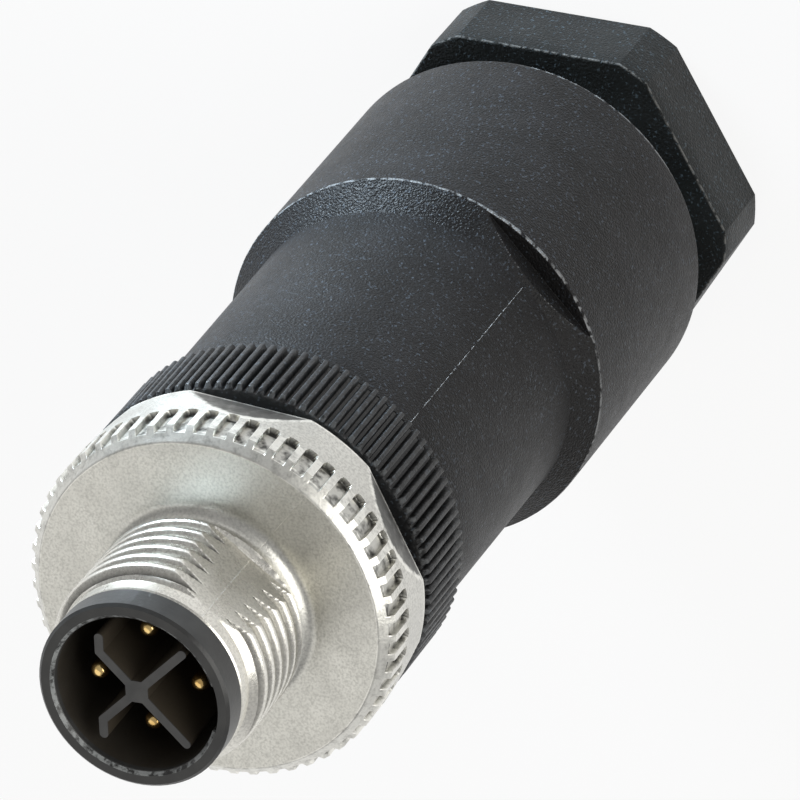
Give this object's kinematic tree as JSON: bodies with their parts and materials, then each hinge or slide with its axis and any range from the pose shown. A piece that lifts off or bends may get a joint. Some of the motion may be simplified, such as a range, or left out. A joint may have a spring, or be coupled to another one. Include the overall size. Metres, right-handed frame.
{
  "type": "m12 connector",
  "caption": "Straight field-wired circular connector plug with a knurled threaded coupling ring, pins in a deep well, cylindrical housing and hexagonal cable gland nut.",
  "frame": {"origin": "centre of the rear face of the pressure nut, where the cable goes in", "axes": "+Z along the connector's axis from the cable end to the mating face; +X towards contact 1"},
  "size_m": [0.0222, 0.023, 0.064],
  "materials": {
    "black_plastic": "fine moulded grain, slightly glossy on edges",
    "nickel": "die-cast zinc, satin nickel plating",
    "gold": "gold plating on turned brass",
    "zinc_steel": "zinc-plated steel",
    "spring_steel": "spring steel",
    "seal_rubber": "soft rubber",
    "cage_plastic": "moulded polyamide",
    "washer_plastic": "smooth acetal"
  },
  "bodies": {
    "carrier_body": {"contact_carrier": "black_plastic", "terminal_holder": "black_plastic", "grip_ring": "black_plastic", "snap_ring": "spring_steel", "housing_seal": "seal_rubber", "contact_1": "gold", "contact_2": "gold", "contact_3": "gold", "contact_pe": "gold"},
    "coupling_ring_body": {"coupling_ring": "nickel"},
    "gland_body": {"cable_seal": "seal_rubber", "clamping_cage": "cage_plastic"},
    "housing_body": {"housing": "black_plastic"},
    "washer_body": {"thrust_washer": "washer_plastic"},
    "nut_body": {"pressure_nut": "black_plastic"},
    "clamp_plate_1_body": {"clamp_plate_1": "zinc_steel"},
    "terminal_screw_1_body": {"terminal_screw_1": "zinc_steel"},
    "clamp_plate_2_body": {"clamp_plate_2": "zinc_steel"},
    "terminal_screw_2_body": {"terminal_screw_2": "zinc_steel"},
    "clamp_plate_3_body": {"clamp_plate_3": "zinc_steel"},
    "terminal_screw_3_body": {"terminal_screw_3": "zinc_steel"},
    "clamp_plate_pe_body": {"clamp_plate_pe": "zinc_steel"},
    "terminal_screw_pe_body": {"terminal_screw_pe": "zinc_steel"}
  },
  "joints": [
    {"name": "coupling_ring_turn", "type": "hinge", "parent": "carrier_body", "child": "coupling_ring_body", "pos_m": [0, 0, 0.05], "axis": [0, 0, 1], "continuous": true},
    {"name": "housing_travel", "type": "slide", "parent": "carrier_body", "child": "gland_body", "axis": [0, 0, -1], "range_m": [0, 0.0044]},
    {"name": "housing_turn", "type": "hinge", "parent": "gland_body", "child": "housing_body", "pos_m": [0, 0, 0.025], "axis": [0, 0, -1], "range_deg": [0, 1584]},
    {"name": "nut_travel", "type": "slide", "parent": "housing_body", "child": "washer_body", "axis": [0, 0, -1], "range_m": [-0.0031, 0.0044]},
    {"name": "nut_turn", "type": "hinge", "parent": "washer_body", "child": "nut_body", "pos_m": [0, 0, 0.003], "axis": [0, 0, -1], "range_deg": [-1116, 1584]},
    {"name": "clamp_plate_1_travel", "type": "slide", "parent": "carrier_body", "child": "clamp_plate_1_body", "axis": [-1, 0, 0], "range_m": [0, 0.0008]},
    {"name": "terminal_screw_1_turn", "type": "hinge", "parent": "clamp_plate_1_body", "child": "terminal_screw_1_body", "pos_m": [0, 0, 0.03355], "axis": [-1, 0, 0], "range_deg": [0, 720]},
    {"name": "clamp_plate_2_travel", "type": "slide", "parent": "carrier_body", "child": "clamp_plate_2_body", "axis": [0, 1, 0], "range_m": [0, 0.0008]},
    {"name": "terminal_screw_2_turn", "type": "hinge", "parent": "clamp_plate_2_body", "child": "terminal_screw_2_body", "pos_m": [0, 0, 0.03355], "axis": [0, 1, 0], "range_deg": [0, 720]},
    {"name": "clamp_plate_3_travel", "type": "slide", "parent": "carrier_body", "child": "clamp_plate_3_body", "axis": [1, 0, 0], "range_m": [0, 0.0008]},
    {"name": "terminal_screw_3_turn", "type": "hinge", "parent": "clamp_plate_3_body", "child": "terminal_screw_3_body", "pos_m": [0, 0, 0.03355], "axis": [1, 0, 0], "range_deg": [0, 720]},
    {"name": "clamp_plate_pe_travel", "type": "slide", "parent": "carrier_body", "child": "clamp_plate_pe_body", "axis": [0, -1, 0], "range_m": [0, 0.0008]},
    {"name": "terminal_screw_pe_turn", "type": "hinge", "parent": "clamp_plate_pe_body", "child": "terminal_screw_pe_body", "pos_m": [0, 0, 0.03355], "axis": [0, -1, 0], "range_deg": [0, 720]}
  ],
  "couplings": [
    {"joint": "housing_travel", "follows": "housing_turn", "m_per_rad": 0.00015915},
    {"joint": "nut_travel", "follows": "nut_turn", "m_per_rad": 0.00015915},
    {"joint": "terminal_screw_1_turn", "follows": "clamp_plate_1_travel", "rad_per_m": 15708},
    {"joint": "terminal_screw_2_turn", "follows": "clamp_plate_2_travel", "rad_per_m": 15708},
    {"joint": "terminal_screw_3_turn", "follows": "clamp_plate_3_travel", "rad_per_m": 15708},
    {"joint": "terminal_screw_pe_turn", "follows": "clamp_plate_pe_travel", "rad_per_m": 15708}
  ]
}
